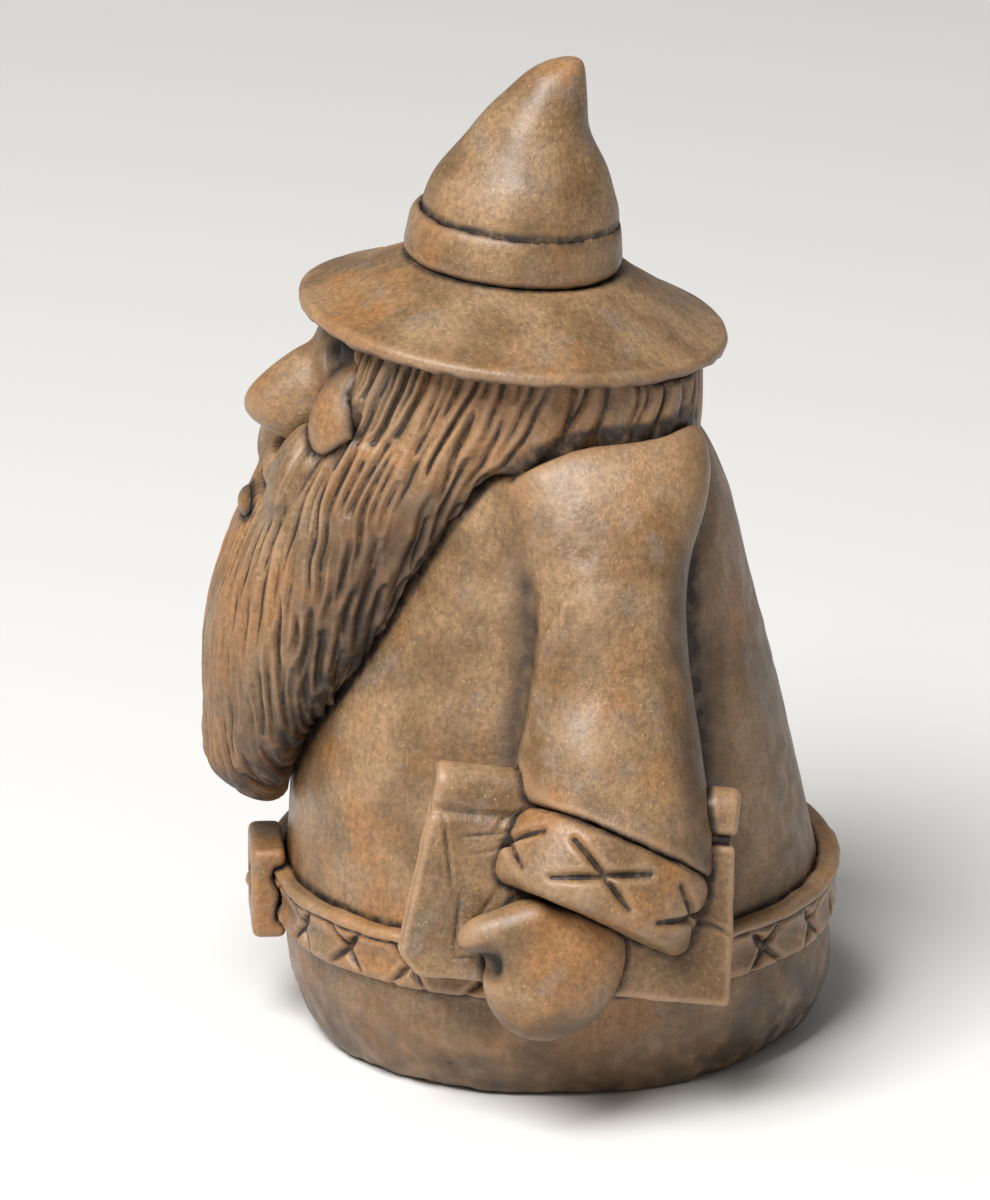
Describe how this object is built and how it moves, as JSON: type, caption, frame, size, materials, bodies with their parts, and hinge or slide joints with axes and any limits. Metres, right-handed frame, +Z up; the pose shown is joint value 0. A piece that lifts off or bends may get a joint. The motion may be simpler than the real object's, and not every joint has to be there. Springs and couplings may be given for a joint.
{
  "type": "figurine",
  "caption": "Small stout bearded figure in a belted robe and a pointed hat with a drooping brim, one hand holding a closed book against the hip, standing on a flat base",
  "frame": {"origin": "on the floor under the middle of the robe's foot", "axes": "+Z up, the figure faces -Y, its left side is +X"},
  "size_m": [0.0688, 0.0598, 0.0931],
  "materials": {
    "fired_clay": "unglazed, hand-modelled, with a dark wash in the grooves"
  },
  "bodies": {
    "root": {"beard": "fired_clay", "belt": "fired_clay", "book_cover": "fired_clay", "book_pages": "fired_clay", "buckle_frame": "fired_clay", "buckle_prong": "fired_clay", "hair": "fired_clay", "hat_band": "fired_clay", "hat_brim": "fired_clay", "hat_crown": "fired_clay", "head": "fired_clay", "left_cheek": "fired_clay", "left_cuff": "fired_clay", "left_eye": "fired_clay", "left_hand": "fired_clay", "left_moustache": "fired_clay", "left_sleeve": "fired_clay", "left_thumb": "fired_clay", "lower_lip": "fired_clay", "nose": "fired_clay", "right_cheek": "fired_clay", "right_cuff": "fired_clay", "right_eye": "fired_clay", "right_hand": "fired_clay", "right_moustache": "fired_clay", "right_sleeve": "fired_clay", "right_thumb": "fired_clay", "robe_body": "fired_clay"}
  },
  "joints": []
}
